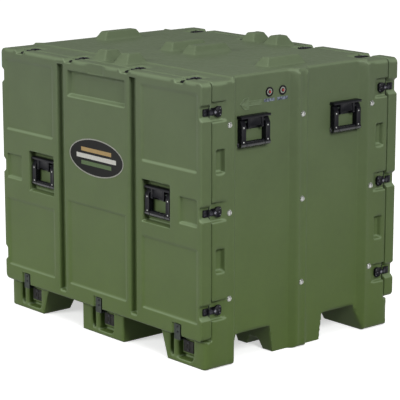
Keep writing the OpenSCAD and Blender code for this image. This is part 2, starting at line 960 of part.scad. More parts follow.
module strike_plates() {
    y1 = -foot_y + strike_face;
    difference() {
        for (x = tongue_x)
            bar(x + strike_x - strike_w / 2, x + strike_x + strike_w / 2, y1 - strike_t, y1,
                strike_z - strike_h / 2, strike_z + strike_h / 2);
        at_strike_rivets()
            rivet_hole();
    }
}

module foot_strike_plates() {
    color(black) {
        strike_plates();
        at_rear()
            strike_plates();
    }
}

// Latches

module keeper() {
    difference() {
        union() {
            bar(-keeper_w / 2, keeper_w / 2, -keeper_near - keeper_l, -keeper_near, 0, plate_t);
            translate([-keeper_w / 2, -keeper_near - keeper_lip_back - keeper_lip_t, 0])
                cube([keeper_w, keeper_lip_t, keeper_lip_h]);
        }
        at_keeper_rivets()
            rivet_hole();
    }
}

module front_keepers() {
    color(black)
        for (l = FRONT_LATCHES)
            at_latch(l)
                keeper();
}

module rear_keepers() {
    color(black)
        for (l = REAR_LATCHES)
            at_latch(l)
                keeper();
}

module latch_base() {
    difference() {
        union() {
            bar(-base_w / 2, base_w / 2, base_near, base_near + base_l, 0, plate_t);
            translate([0, pivot_u, 0]) {
                cylinder(d = pivot_d, h = knob_high + pivot_head_gap + pivot_head_h);
                translate([0, 0, knob_high + pivot_head_gap])
                    cylinder(d = pivot_head_d, h = pivot_head_h);
            }
        }
        at_base_rivets()
            rivet_hole();
    }
}

module latch_bases() {
    color(black)
        for (l = LATCHES)
            at_latch(l)
                latch_base();
}

// Wing and hook in one piece, turning on the base's pivot
module latch_knob() {
    wing_in = hub_d / 2 - wing_hub_lap;
    hook_top = knob_high - hook_top_gap;
    color(black)
        translate([0, pivot_u, 0])
            difference() {
                union() {
                    translate([0, 0, knob_low - hub_drop])
                        cylinder(d = hub_d, h = knob_high - knob_low + hub_drop);
                    translate([0, 0, knob_low])
                        linear_extrude(knob_high - knob_low)
                            intersection() {
                                circle(wing_r);
                                polygon([[-wing_in, 0], [wing_in, 0], [wing_side, wing_side],
                                    [wing_side, wing_r], [-wing_side, wing_r],
                                    [-wing_side, wing_side]]);
                            }
                    bar(-hook_neck / 2, hook_neck / 2, -hook_r, 0, hook_low, hook_top);
                    translate([-hook_w / 2, -hook_r + hook_tip, hook_low])
                        cube([hook_w, hook_bar, hook_top - hook_low + hook_bar_rise]);
                }
                cylinder(d = pivot_d + 2 * run_clear, h = 2 * recess_depth);
            }
}

// Handles

module handle_plate() {
    difference() {
        union() {
            bar(-plate_half, plate_half, -plate_t, 0, plate_low, handle_h / 2);
            bar(-handle_w / 2, handle_w / 2, -handle_d, 0, handle_h / 2 - hood_h, handle_h / 2);
            bar(-knuckle_half, knuckle_half, -knuckle_out, 0, knuckle_low, knuckle_high);
        }
        translate([0, -axis_out, axis_up])
            rod_x(pin_d + 2 * run_clear, handle_w);
        at_plate_rivets()
            rivet_hole();
    }
}

module handle_pin() {
    translate([0, -axis_out, axis_up])
        rod_x(pin_d, 2 * (arm_out - pin_end));
}

// Bail of a handle: two arms and a round grip
module bail() {
    grip_z0 = -handle_h / 2 + grip_d / 2;
    color(black)
        difference() {
            union() {
                for (s = [-1, 1]) {
                    x0 = s < 0 ? -arm_out : arm_in;
                    bar(x0, x0 + arm_w, -axis_out - arm_t / 2, -axis_out + arm_t / 2, grip_z0, axis_up);
                    translate([x0 + arm_w / 2, -axis_out, axis_up])
                        rod_x(arm_t, arm_w);
                }
                translate([0, -axis_out, grip_z0])
                    rod_x(grip_d, handle_w);
            }
            translate([0, -axis_out, axis_up])
                rod_x(pin_d + 2 * run_clear, handle_w);
        }
}

module side_handle_plates() {
    color(black)
        for (h = SIDE_HANDLES)
            at_handle(h)
                handle_plate();
}

module front_lid_handle_plates() {
    color(black)
        for (h = FRONT_HANDLES)
            at_handle(h)
                handle_plate();
}

module rear_lid_handle_plates() {
    color(black)
        for (h = REAR_HANDLES)
            at_handle(h)
                handle_plate();
}

module side_handle_pins() {
    color(dark_steel)
        for (h = SIDE_HANDLES)
            at_handle(h)
                handle_pin();
}

module front_lid_handle_pins() {
    color(dark_steel)
        for (h = FRONT_HANDLES)
            at_handle(h)
                handle_pin();
}

module rear_lid_handle_pins() {
    color(dark_steel)
        for (h = REAR_HANDLES)
            at_handle(h)
                handle_pin();
}

// Rivets

module lid_rivets(latches, handles) {
    for (l = latches)
        at_latch(l)
            at_keeper_rivets()
                rivet();
    for (h = handles)
        at_handle(h)
            at_plate_rivets()
                rivet();
}

module front_lid_rivets() {
    color(dark_steel) {
        lid_rivets(FRONT_LATCHES, FRONT_HANDLES);
        at_tongue_rivets()
            rivet();
    }
}

module rear_lid_rivets() {
    color(dark_steel) {
        lid_rivets(REAR_LATCHES, REAR_HANDLES);
        at_rear()
            at_tongue_rivets()
                rivet();
    }
}

module body_rivets() {
    color(dark_steel) {
        for (l = LATCHES)
            at_latch(l)
                at_base_rivets()
                    rivet();
        for (h = SIDE_HANDLES)
            at_handle(h)
                at_plate_rivets()
                    rivet();
        for (turn = [0, 180])
            rotate([0, 0, turn])
                at_strike_rivets()
                    rivet();
    }
}

// Rails and bolts

// Channel with its web on the wall at x = 0, opening towards -X
module rail() {
    inner = rail_w / 2 - rail_t;
    difference() {
        bar(-rail_depth, 0, -rail_w / 2, rail_w / 2, rail_low, rail_high);
        bar(-rail_depth - over, -rail_t, -inner, inner, rail_low - over, rail_high + over);
        for (z = bolt_z)
            translate([-rail_depth, 0, z])
                rotate([0, 90, 0])
                    cylinder(d = bolt_d + 2 * bolt_clear, h = 2 * rail_depth);
        for (z = rail_hole_z)
            translate([-rail_depth, 0, z])
                rotate([0, 90, 0])
                    cylinder(d = rail_hole_d, h = 2 * rail_depth);
    }
}

module right_rails() {
    color(bright_steel)
        for (y = bolt_y)
            translate([rail_wall_x, y, 0])
                rail();
}

module left_rails() {
    color(bright_steel)
        mirror([1, 0, 0])
            for (y = bolt_y)
                translate([rail_wall_x, y, 0])
                    rail();
}

module side_bolts() {
    shank_l = wall + rail_t + nut_t + thread_end;
    color(bright_steel)
        at_bolts()
            difference() {
                union() {
                    translate([0, 0, washer_t])
                        cylinder(d = bolt_head_d, h = bolt_head_h);
                    translate([0, 0, -shank_l])
                        cylinder(d = bolt_d, h = shank_l + washer_t + over);
                }
                translate([-bolt_head_d, -slot_w / 2, washer_t + bolt_head_h - slot_depth])
                    cube([2 * bolt_head_d, slot_w, 2 * slot_depth]);
            }
}

module side_bolt_washers() {
    color(dark_steel)
        at_bolts()
            difference() {
                cylinder(d = washer_d, h = washer_t);
                translate([0, 0, -over])
                    cylinder(d = bolt_d + 2 * bolt_clear, h = washer_t + 2 * over);
            }
}

module side_bolt_nuts() {
    color(bright_steel)
        at_bolts()
            translate([0, 0, -wall - rail_t - nut_t])
                difference() {
                    cylinder(d = nut_d, h = nut_t, $fn = 6);
                    translate([0, 0, -over])
                        cylinder(d = bolt_d + 2 * run_clear, h = nut_t + 2 * over);
                }
}

// Valves

module valve_bodies() {
    color(black)
        at_valves()
            difference() {
                union() {
                    cylinder(d = valve_d, h = valve_flange_t);
                    translate([0, 0, -wall - valve_inside])
                        cylinder(d = valve_barrel_d, h = wall + valve_inside + over);
                }
                translate([0, 0, -wall - valve_inside - over])
                    cylinder(d = button_d + 2 * run_clear, h = 2 * wall + valve_inside + valve_flange_t);
            }
}

module valve_nuts() {
    color(black)
        at_valves()
            translate([0, 0, -wall - valve_nut_t])
                difference() {
                    cylinder(d = valve_nut_d, h = valve_nut_t, $fn = 6);
                    translate([0, 0, -over])
                        cylinder(d = valve_barrel_d + 2 * run_clear, h = valve_nut_t + 2 * over);
                }
}

module valve_button(y) {
    color("#a5241f")
        translate([panel_x, y, valve_z])
            rotate([0, 90, 0])
                translate([0, 0, -wall])
                    cylinder(d = button_d, h = wall + valve_flange_t + valve_travel);
}

module valve_labels() {
    color(dark_steel)
        for (y = valve_y)
            bar(panel_x, panel_x + tag_t, y - tag_w / 2, y + tag_w / 2,
                tag_z - tag_h / 2, tag_z + tag_h / 2);
}

body_shell();
front_lid();
rear_lid();
front_gasket();
rear_gasket();
left_rails();
right_rails();
side_bolts();
side_bolt_washers();
side_bolt_nuts();
side_handle_plates();
front_lid_handle_plates();
rear_lid_handle_plates();
side_handle_pins();
front_lid_handle_pins();
rear_lid_handle_pins();
latch_bases();
front_keepers();
rear_keepers();
front_lid_tongues();
rear_lid_tongues();
foot_strike_plates();
body_rivets();
front_lid_rivets();
rear_lid_rivets();
valve_bodies();
valve_nuts();
valve_button(valve_y[0]);  // valve_button_1
valve_button(valve_y[1]);  // valve_button_2
valve_labels();
nameplate();
for (h = HANDLES)
    at_handle(h) bail();
for (l = LATCHES)
    at_latch(l) latch_knob();
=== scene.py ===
"""Looks of a pallet-sized hard equipment case: moulded tub and lids with their latches, handles,
bolts, valves and plates. Sizes in this file are millimetres unless they say otherwise."""
import json
import math

import bpy
from mathutils import Matrix, Vector

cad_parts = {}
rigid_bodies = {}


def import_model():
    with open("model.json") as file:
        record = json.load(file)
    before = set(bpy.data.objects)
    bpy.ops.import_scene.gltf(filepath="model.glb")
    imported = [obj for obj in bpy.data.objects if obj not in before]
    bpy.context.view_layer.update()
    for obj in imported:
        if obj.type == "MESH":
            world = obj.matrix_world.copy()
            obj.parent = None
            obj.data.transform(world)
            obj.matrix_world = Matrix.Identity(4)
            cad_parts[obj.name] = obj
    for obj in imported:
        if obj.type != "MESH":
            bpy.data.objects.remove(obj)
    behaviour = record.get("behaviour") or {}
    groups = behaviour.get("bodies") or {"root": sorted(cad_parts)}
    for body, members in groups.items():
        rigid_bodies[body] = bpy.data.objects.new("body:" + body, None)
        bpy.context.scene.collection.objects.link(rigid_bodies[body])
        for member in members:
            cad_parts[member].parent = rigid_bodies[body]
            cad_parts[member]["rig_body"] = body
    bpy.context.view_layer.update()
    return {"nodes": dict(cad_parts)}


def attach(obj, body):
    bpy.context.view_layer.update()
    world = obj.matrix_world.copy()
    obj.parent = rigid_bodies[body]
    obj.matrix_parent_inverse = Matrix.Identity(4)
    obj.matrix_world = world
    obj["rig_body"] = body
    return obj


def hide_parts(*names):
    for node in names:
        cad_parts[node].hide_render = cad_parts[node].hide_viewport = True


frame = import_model()
scene = bpy.context.scene
scene.view_settings.view_transform = "Standard"
MM = 0.001

# Places on the case that several pieces share, as in the CAD
HALF_WIDTH = 635
PANEL_X = 605
LID_Y = 515
LID_LOW, LID_HIGH = 118, 1100
FOOT_Y, FOOT_TOP = 490, 112
BOLT_SEAT_X = 631
SIDE_LATCH_X, TOP_LATCH_TOP = 620, 1085

# Shaping by hand

def choose(obj):
    """Makes obj the only selected object."""
    bpy.ops.object.select_all(action="DESELECT")
    obj.select_set(True)
    bpy.context.view_layer.objects.active = obj


def block(x0, x1, y0, y1, z0, z1):
    """A box between two corners, ready to be shaped."""
    bpy.ops.object.select_all(action="DESELECT")
    middle = ((x0 + x1) / 2, (y0 + y1) / 2, (z0 + z1) / 2)
    bpy.ops.mesh.primitive_cube_add(size=1, location=middle)
    obj = bpy.context.active_object
    obj.scale = (x1 - x0, y1 - y0, z1 - z0)
    bpy.ops.object.transform_apply(location=True, rotation=True, scale=True)
    return obj


def disc(radius, z0, z1, sides=32, at=(0, 0)):
    """A round billet standing on z0, ready to be shaped."""
    bpy.ops.object.select_all(action="DESELECT")
    bpy.ops.mesh.primitive_cylinder_add(
        vertices=sides, radius=radius, depth=z1 - z0, location=(at[0], at[1], (z0 + z1) / 2))
    obj = bpy.context.active_object
    bpy.ops.object.transform_apply(location=True, rotation=True, scale=True)
    return obj


def pick(obj, kind, test):
    """Leaves obj in edit mode with only those faces or edges selected whose place and direction pass."""
    choose(obj)
    bpy.ops.object.mode_set(mode="EDIT")
    bpy.ops.mesh.select_mode(type=kind)
    bpy.ops.mesh.select_all(action="DESELECT")
    bpy.ops.object.mode_set(mode="OBJECT")
    mesh = obj.data
    if kind == "FACE":
        for face in mesh.polygons:
            face.select = bool(test(face.center, face.normal))
    else:
        for edge in mesh.edges:
            a, b = (mesh.vertices[i].co for i in edge.vertices)
            edge.select = bool(test((a + b) / 2, (b - a).normalized()))
    bpy.ops.object.mode_set(mode="EDIT")


def done():
    bpy.ops.object.mode_set(mode="OBJECT")


def round_edges(obj, test, radius, steps=3):
    """Rounds the edges that pass the test."""
    pick(obj, "EDGE", test)
    bpy.ops.mesh.bevel(offset=radius, segments=steps, affect="EDGES")
    done()
    return obj


def sink_faces(obj, test, border, depth):
    """Insets the faces that pass the test and pushes them in, which leaves a raised border."""
    pick(obj, "FACE", test)
    bpy.ops.mesh.inset(thickness=border, depth=-depth)
    done()
    return obj


def trim(obj, point, normal):
    """Cuts off what lies on the normal's side of the plane and closes the cut."""
    choose(obj)
    bpy.ops.object.mode_set(mode="EDIT")
    bpy.ops.mesh.select_all(action="SELECT")
    bpy.ops.mesh.bisect(plane_co=point, plane_no=normal, use_fill=True, clear_outer=True)
    done()
    return obj


def soften(obj, width, steps=2, angle=35):
    """Breaks every sharp edge with a small round."""
    choose(obj)
    bevel = obj.modifiers.new("break_edges", "BEVEL")
    bevel.limit_method = "ANGLE"
    bevel.angle_limit = math.radians(angle)
    bevel.width = width
    bevel.segments = steps
    bpy.ops.object.modifier_apply(modifier=bevel.name)
    return obj


def cut(obj, cutter):
    """Takes the cutter's shape out of obj."""
    choose(obj)
    tool = obj.modifiers.new("cut", "BOOLEAN")
    tool.operation = "DIFFERENCE"
    tool.object = cutter
    bpy.ops.object.modifier_apply(modifier=tool.name)
    bpy.data.objects.remove(cutter)
    return obj


def turned(obj, angle, axis, about=(0, 0, 0)):
    """Turns obj's mesh about a point, in degrees."""
    there = Matrix.Translation(Vector(about))
    obj.data.transform(there @ Matrix.Rotation(math.radians(angle), 4, axis) @ there.inverted())
    return obj


def moved(obj, x, y, z):
    obj.data.transform(Matrix.Translation((x, y, z)))
    return obj


def finish_in(obj, material):
    """Gives obj one material all over."""
    obj.data.materials.clear()
    obj.data.materials.append(material)
    return obj


def joined(parts, name):
    """One object from several; their materials stay on their own faces."""
    choose(parts[0])
    for part in parts:
        part.select_set(True)
    if len(parts) > 1:
        bpy.ops.object.join()
    parts[0].name = name
    parts[0].data.name = name
    return parts[0]


def copy_at(pattern, matrix, name):
    """A copy of the pattern with its own mesh, put in place and turned from millimetres to metres."""
    obj = pattern.copy()
    obj.data = pattern.data.copy()
    obj.name = name
    scene.collection.objects.link(obj)
    obj.data.transform(matrix @ Matrix.Scale(MM, 4))
    return obj


def smooth(obj, angle=38):
    choose(obj)
    bpy.ops.object.shade_smooth_by_angle(angle=math.radians(angle))
    return obj


def stand_in(obj, slot, *nodes):
    """obj takes the place of CAD nodes and rides on their body."""
    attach(obj, frame["nodes"][nodes[0]]["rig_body"])
    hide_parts(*nodes)
    return obj


# Materials

def linear(code):
    """Linear colour of an sRGB hex code."""
    out = []
    for i in (1, 3, 5):
        c = int(code[i:i + 2], 16) / 255
        out.append(c / 12.92 if c <= 0.04045 else ((c + 0.055) / 1.055) ** 2.4)
    return (*out, 1.0)


def add(tree, kind, inputs=None, **settings):
    """Adds a node with its settings, values and links."""
    node = tree.nodes.new(kind)
    for key, value in settings.items():
        setattr(node, key, value)
    for key, value in (inputs or {}).items():
        if isinstance(value, bpy.types.NodeSocket):
            tree.links.new(value, node.inputs[key])
        else:
            node.inputs[key].default_value = value
    return node


def new_material(name):
    """An empty material, its node tree and its Object coordinates."""
    material = bpy.data.materials.new(name)
    material.use_nodes = True
    tree = material.node_tree
    tree.nodes.clear()
    return material, tree, add(tree, "ShaderNodeTexCoord").outputs["Object"]


def surface(tree, inputs):
    """Ends a material in a Principled surface."""
    shader = add(tree, "ShaderNodeBsdfPrincipled", inputs)
    add(tree, "ShaderNodeOutputMaterial", {"Surface": shader.outputs["BSDF"]})
    return shader


# Olive low down and higher up; the shift between them is painted light, greyer towards the top.
OLIVE_LOW = "#5b6f3a"
OLIVE_HIGH = "#616e53"
# Pale colour of the painted highlight on faces that slope upwards
UPSLOPE_HIGHLIGHT = "#8b9d7b"
# Pale colour of the painted highlight on outer edges
EDGE_HIGHLIGHT = "#86987a"
# Dark colour of the painted shade in seams and tight corners
SEAM_SHADE = "#10150b"
# Strength of the painted highlight on a face, by the upward part of its normal
HIGHLIGHT_BY_SLOPE = ((0.12, 0.0), (0.4, 0.55), (0.8, 0.5), (0.97, 0.0))
# Heights between which the painted highlight ends, below the lugs
HIGHLIGHT_END = (1085, 1105)
EDGE_REACH = 4
SEAM_REACH = 8
AO_SAMPLES = 8


def olive_polyethylene():
    # Rotationally moulded polyethylene, coloured through: a waxy half gloss over a finely pebbled skin,
    # cloudy shifts of green a hand wide, painted highlights on outer edges and on faces that slope
    # upwards, painted shade in the seams and tight corners, and painted light that turns it greyer
    # towards the top.
    material, tree, place = new_material("olive_polyethylene")
    cloud = add(tree, "ShaderNodeTexNoise", {"Vector": place, "Scale": 1000 / 160, "Detail": 3.0})
    mottle = add(tree, "ShaderNodeTexNoise", {"Vector": place, "Scale": 1000 / 22, "Detail": 4.0})
    # The real pebble is about 1 mm wide; 5 mm is as fine as the picture can show.
    pebble = add(tree, "ShaderNodeTexNoise", {"Vector": place, "Scale": 1000 / 5, "Detail": 2.0})
    height = add(tree, "ShaderNodeSeparateXYZ", {"Vector": place})
    # Painted light: the colour turns greyer towards the top.
    light_by_height = add(tree, "ShaderNodeMapRange", {
        "Value": height.outputs["Z"], "From Min": 0.0, "From Max": LID_HIGH * MM})
    body = add(tree, "ShaderNodeMix", {
        "Factor": light_by_height.outputs["Result"], "A": linear(OLIVE_LOW), "B": linear(OLIVE_HIGH)},
        data_type="RGBA")
    patchy = add(tree, "ShaderNodeMapRange", {
        "Value": cloud.outputs["Fac"], "From Min": 0.3, "From Max": 0.7, "To Min": 0.95, "To Max": 1.05})
    grain = add(tree, "ShaderNodeMapRange", {
        "Value": mottle.outputs["Fac"], "From Min": 0.3, "From Max": 0.7, "To Min": 0.97, "To Max": 1.03})
    tone = add(tree, "ShaderNodeMath", {
        0: patchy.outputs["Result"], 1: grain.outputs["Result"]}, operation="MULTIPLY")
    shaded = add(tree, "ShaderNodeVectorMath", {
        0: body.outputs["Result"], "Scale": tone.outputs["Value"]}, operation="SCALE")
    # Faces that slope upwards get a painted highlight, as light from above falls on them; level faces and
    # the lugs on top get none.
    shape = add(tree, "ShaderNodeNewGeometry")
    facing = add(tree, "ShaderNodeSeparateXYZ", {"Vector": shape.outputs["Normal"]})
    upslope = add(tree, "ShaderNodeValToRGB", {"Fac": facing.outputs["Z"]})
    for stop, amount in HIGHLIGHT_BY_SLOPE:
        upslope.color_ramp.elements.new(stop).color = (amount, amount, amount, 1)
    upslope.color_ramp.elements[0].color = upslope.color_ramp.elements[-1].color = (0, 0, 0, 1)
    below_lugs = add(tree, "ShaderNodeMapRange", {
        "Value": height.outputs["Z"], "From Min": HIGHLIGHT_END[0] * MM, "From Max": HIGHLIGHT_END[1] * MM,
        "To Min": 1.0, "To Max": 0.1})
    slope_highlight = add(tree, "ShaderNodeMath", {
        0: upslope.outputs["Color"], 1: below_lugs.outputs["Result"]}, operation="MULTIPLY")
    highlighted = add(tree, "ShaderNodeMix", {
        "Factor": slope_highlight.outputs["Value"], "A": shaded.outputs["Vector"], "B": linear(UPSLOPE_HIGHLIGHT)},
        data_type="RGBA")
    # Outer edges get a painted highlight a few millimetres wide, and seams and tight corners get painted
    # shade.
    bent = add(tree, "ShaderNodeMapRange", {
        "Value": shape.outputs["Pointiness"], "From Min": 0.502, "From Max": 0.52,
        "To Min": 0.0, "To Max": 0.6})
    within = add(tree, "ShaderNodeAmbientOcclusion", {"Distance": EDGE_REACH * MM},
                 samples=AO_SAMPLES, inside=True)
    edge = add(tree, "ShaderNodeMapRange", {
        "Value": within.outputs["AO"], "From Min": 0.95, "From Max": 0.6, "To Min": 0.0,
        "To Max": bent.outputs["Result"]})
    edge_highlit = add(tree, "ShaderNodeMix", {
        "Factor": edge.outputs["Result"], "A": highlighted.outputs["Result"], "B": linear(EDGE_HIGHLIGHT)},
        data_type="RGBA")
    # Painted shade: seams and tight corners darken where ambient occlusion finds other faces close by.
    open_air = add(tree, "ShaderNodeAmbientOcclusion", {"Distance": SEAM_REACH * MM}, samples=AO_SAMPLES)
    painted_shade = add(tree, "ShaderNodeMapRange", {
        "Value": open_air.outputs["AO"], "From Min": 0.5, "From Max": 0.1, "To Min": 0.0, "To Max": 0.92})
    shaded_seams = add(tree, "ShaderNodeMix", {
        "Factor": painted_shade.outputs["Result"], "A": edge_highlit.outputs["Result"], "B": linear(SEAM_SHADE)},
        data_type="RGBA")
    gloss = add(tree, "ShaderNodeMapRange", {
        "Value": mottle.outputs["Fac"], "From Min": 0.3, "From Max": 0.7, "To Min": 0.42, "To Max": 0.54})
    skin = add(tree, "ShaderNodeBump", {
        "Height": pebble.outputs["Fac"], "Strength": 0.12, "Distance": 0.6 * MM})
    surface(tree, {"Base Color": shaded_seams.outputs["Result"], "Roughness": gloss.outputs["Result"],
                   "Normal": skin.outputs["Normal"], "IOR": 1.5, "Specular IOR Level": 0.18})
    return material


def speckled(name, dark, light, patch, roughness, metallic=0.0, bump=0.2, ior=None, shine=0.5,
             stretch=(1, 1, 1)):
    """A finish that shifts between two tones in patches of the given width, with a bump to match."""
    material, tree, place = new_material(name)
    stretched = add(tree, "ShaderNodeMapping", {"Vector": place, "Scale": stretch})
    grain = add(tree, "ShaderNodeTexNoise", {
        "Vector": stretched.outputs["Vector"], "Scale": 1000 / patch, "Detail": 5.0, "Roughness": 0.6})
    spread = add(tree, "ShaderNodeMapRange", {
        "Value": grain.outputs["Fac"], "From Min": 0.35, "From Max": 0.65})
    colour = add(tree, "ShaderNodeMix", {
        "Factor": spread.outputs["Result"], "A": linear(dark), "B": linear(light)}, data_type="RGBA")
    gloss = add(tree, "ShaderNodeMapRange", {
        "Value": grain.outputs["Fac"], "From Min": 0.35, "From Max": 0.65,
        "To Min": roughness * 0.85, "To Max": min(1.0, roughness * 1.15)})
    relief = add(tree, "ShaderNodeBump", {
        "Height": grain.outputs["Fac"], "Strength": bump, "Distance": 0.3 * MM})
    inputs = {"Base Color": colour.outputs["Result"], "Roughness": gloss.outputs["Result"],
              "Normal": relief.outputs["Normal"], "Metallic": metallic}
    if ior:
        inputs.update({"IOR": ior, "Specular IOR Level": shine})
    surface(tree, inputs)
    return material


OLIVE = olive_polyethylene()
# Glass-filled nylon, injection moulded: nearly black with a blue cast, dull, with a fine grain.
NYLON = speckled("black_glass_filled_nylon", "#07070c", "#131319", 4, 0.42, bump=0.25, ior=1.53,
                 shine=0.16)
# The same nylon polished by hands on the grips, so that it carries a bright line of light.
GRIP_NYLON = speckled("hand_worn_nylon", "#0a0b0e", "#15171b", 8, 0.26, bump=0.1, ior=1.53,
                      shine=0.45)
# Phosphated steel: dark grey-green, cloudy and dull from the bath it was dipped in.
PHOSPHATED = speckled("phosphated_steel", "#1b221e", "#2d362f", 7, 0.55, metallic=0.3, bump=0.15)
# Zinc-plated steel: pale silver with a soft crystalline cloud.
ZINC = speckled("zinc_plated_steel", "#8f918e", "#b9bab6", 3, 0.34, metallic=1.0, bump=0.1)
# Zinc-plated rivets and studs that have dulled: mid grey and rough.
DULL_ZINC = speckled("dulled_zinc_stud", "#5d5c64", "#84838a", 3, 0.42, metallic=0.9, bump=0.15)
# Blackened steel of the latch hooks and the blind rivets: a dark oxide with a faint blue cast.
BLACKENED = speckled("blackened_steel", "#18181d", "#303038", 3, 0.4, metallic=0.7, bump=0.15)
# Extruded aluminium as it leaves the die: pale grey with long streaks up the rail.
ALUMINIUM = speckled("extruded_aluminium", "#a9abad", "#c8cacb", 3, 0.36, metallic=1.0, bump=0.12,
                     stretch=(1, 1, 0.03))
# Cellular EPDM rubber: black, matt and slightly open.
RUBBER = speckled("cellular_epdm_rubber", "#0f1011", "#1d1e1f", 2.5, 0.85, bump=0.4, ior=1.5)
# Red acetal push button, moulded and smooth.
RED = speckled("red_acetal", "#8c1a18", "#b3302a", 6, 0.34, bump=0.08, ior=1.48)
# Pale moulded ABS face of the valves.
PALE = speckled("pale_abs_face", "#8b8c86", "#b2b2a9", 5, 0.45, bump=0.1, ior=1.52, shine=0.2)
# Blank polyester film plates under the valves, pale blue-grey, lightly rubbed.
FILM = speckled("blank_polyester_film", "#2f3644", "#8d97a5", 9, 0.4, bump=0.05, ior=1.58, shine=0.2)
# Brown-black moulded rubber of the strike plates.
BROWN = speckled("brown_black_rubber", "#0e0e0c", "#1d1c18", 5, 0.62, bump=0.3, ior=1.52, shine=0.2)


BADGE_Y, BADGE_Z = -513.5, 727
BADGE_HALF_WIDTH, BADGE_HALF_HEIGHT = 172.5, 75
# Each printed band: its middle above the badge's middle, half height, half width and ink
BADGE_BANDS = ((27, 8, 96, "#b59a6a"), (0, 9, 126, "#d5d4cc"), (-27, 8, 96, "#5f7350"))


def badge_print():
    # Screen-printed polyester plate: black ground with three plain bands, slightly uneven ink.
    material, tree, place = new_material("screen_printed_plate")
    split = add(tree, "ShaderNodeSeparateXYZ", {"Vector": place})
    ink = add(tree, "ShaderNodeTexNoise", {"Vector": place, "Scale": 1000 / 6, "Detail": 4.0})
    tone = add(tree, "ShaderNodeMapRange", {
        "Value": ink.outputs["Fac"], "From Min": 0.3, "From Max": 0.7, "To Min": 0.9, "To Max": 1.06})
    colour = linear("#0d0e0c")
    for rise, half, reach, code in BADGE_BANDS:
        up = add(tree, "ShaderNodeMath", {
            0: split.outputs["Z"], 1: (BADGE_Z + rise) * MM, 2: half * MM}, operation="COMPARE")
        across = add(tree, "ShaderNodeMath", {
            0: split.outputs["X"], 1: 0.0, 2: reach * MM}, operation="COMPARE")
        band = add(tree, "ShaderNodeMath", {
            0: up.outputs["Value"], 1: across.outputs["Value"]}, operation="MULTIPLY")
        colour = add(tree, "ShaderNodeMix", {
            "Factor": band.outputs["Value"], "A": colour, "B": linear(code)},
            data_type="RGBA").outputs["Result"]
    printed = add(tree, "ShaderNodeVectorMath", {
        0: colour, "Scale": tone.outputs["Result"]}, operation="SCALE")
    surface(tree, {"Base Color": printed.outputs["Vector"], "Roughness": 0.4, "IOR": 1.58,
                   "Specular IOR Level": 0.08})
    return material


PRINT = badge_print()

# Moulded shells

MOST_FACES = 180000
# Steps of the even skin, tried in this order
TUB_STEPS = (2.8, 2.7, 3.1, 4.0)
LID_STEPS = (2.0, 1.9, 2.2, 2.8)
# Least share of the shell's area that a whole skin keeps
WHOLE_SKIN = 0.97
EDGE_ROUNDS, RIM_ROUNDS = 1, 12
RIM_REACH = 14


def skin_area(mesh):
    return sum(face.area for face in mesh.polygons)


def even_skin(shell, sizes, flats):
    """Covers the shell with an even skin, with large faces on its flats where asked.
    A thin wall can drop out of a skin at an unlucky step, so the next step is taken if area is lost."""
    start = shell.data
    for size in sizes:
        shell.data = start.copy()
        skin = shell.modifiers.new("even_skin", "REMESH")
        skin.mode = "VOXEL"
        skin.voxel_size = size * MM
        skin.adaptivity = flats
        bpy.ops.object.modifier_apply(modifier=skin.name)
        if skin_area(shell.data) > WHOLE_SKIN * skin_area(start):
            break


def relax(shell, name, rounds, zone=""):
    """Draws the skin softer, all over or in one zone."""
    soft = shell.modifiers.new(name, "SMOOTH")
    soft.factor = 0.5
    soft.iterations = rounds
    soft.vertex_group = zone
    bpy.ops.object.modifier_apply(modifier=soft.name)


def moulded(node, name, sizes, rim):
    """A copy of a moulded CAD solid with every edge drawn soft, as the moulding leaves it.
    Where rim passes, the edge is drawn to a wider round."""
    shell = frame["nodes"][node].copy()
    shell.data = shell.data.copy()
    shell.parent = None
    for key in list(shell.keys()):
        del shell[key]
    shell.name = name
    scene.collection.objects.link(shell)
    choose(shell)
    bpy.ops.object.mode_set(mode="EDIT")
    bpy.ops.mesh.select_all(action="SELECT")
    bpy.ops.mesh.remove_doubles(threshold=0.01 * MM)
    done()
    even_skin(shell, sizes, 0.0)
    relax(shell, "soft_edges", EDGE_ROUNDS)
    zone = shell.vertex_groups.new(name="rim")
    zone.add([v.index for v in shell.data.vertices if rim(v.co / MM)], 1.0, "REPLACE")
    relax(shell, "round_rim", RIM_ROUNDS, zone.name)
    even_skin(shell, sizes, 0.2)
    thin = shell.modifiers.new("fewer_faces", "DECIMATE")
    triangles = sum(len(face.vertices) - 2 for face in shell.data.polygons)
    thin.ratio = min(1.0, MOST_FACES / triangles)
    bpy.ops.object.modifier_apply(modifier=thin.name)
    bpy.ops.object.shade_smooth()
    calm = shell.modifiers.new("calm_flats", "WEIGHTED_NORMAL")
    calm.weight = 100
    bpy.ops.object.modifier_apply(modifier=calm.name)
    shell.data.name = name
    finish_in(shell, OLIVE)
    return stand_in(shell, "olive_polyethylene", node)


def lid_rim(at):
    """Outer edge of a lid's face."""
    upright = abs(at.x) > HALF_WIDTH - RIM_REACH
    level = at.z > LID_HIGH - RIM_REACH or at.z < LID_LOW + RIM_REACH
    return (upright or level) and abs(at.y) > LID_Y - RIM_REACH


def foot_front(at):
    """Front and rear faces of the feet, with the edges round them."""
    return at.z < FOOT_TOP and abs(at.y) > FOOT_Y - RIM_REACH


moulded("body_shell", "tub_moulding", TUB_STEPS, foot_front)
for lid in ("front_lid", "rear_lid"):
    moulded(lid, lid + "_moulding", LID_STEPS, lid_rim)

# Latches

SEAL_Y = 464.5
PIVOT_U = 18
TOP_LATCH_X = (-506, -178, 178, 506)
SIDE_LATCH_Z = (231, 609, 987)


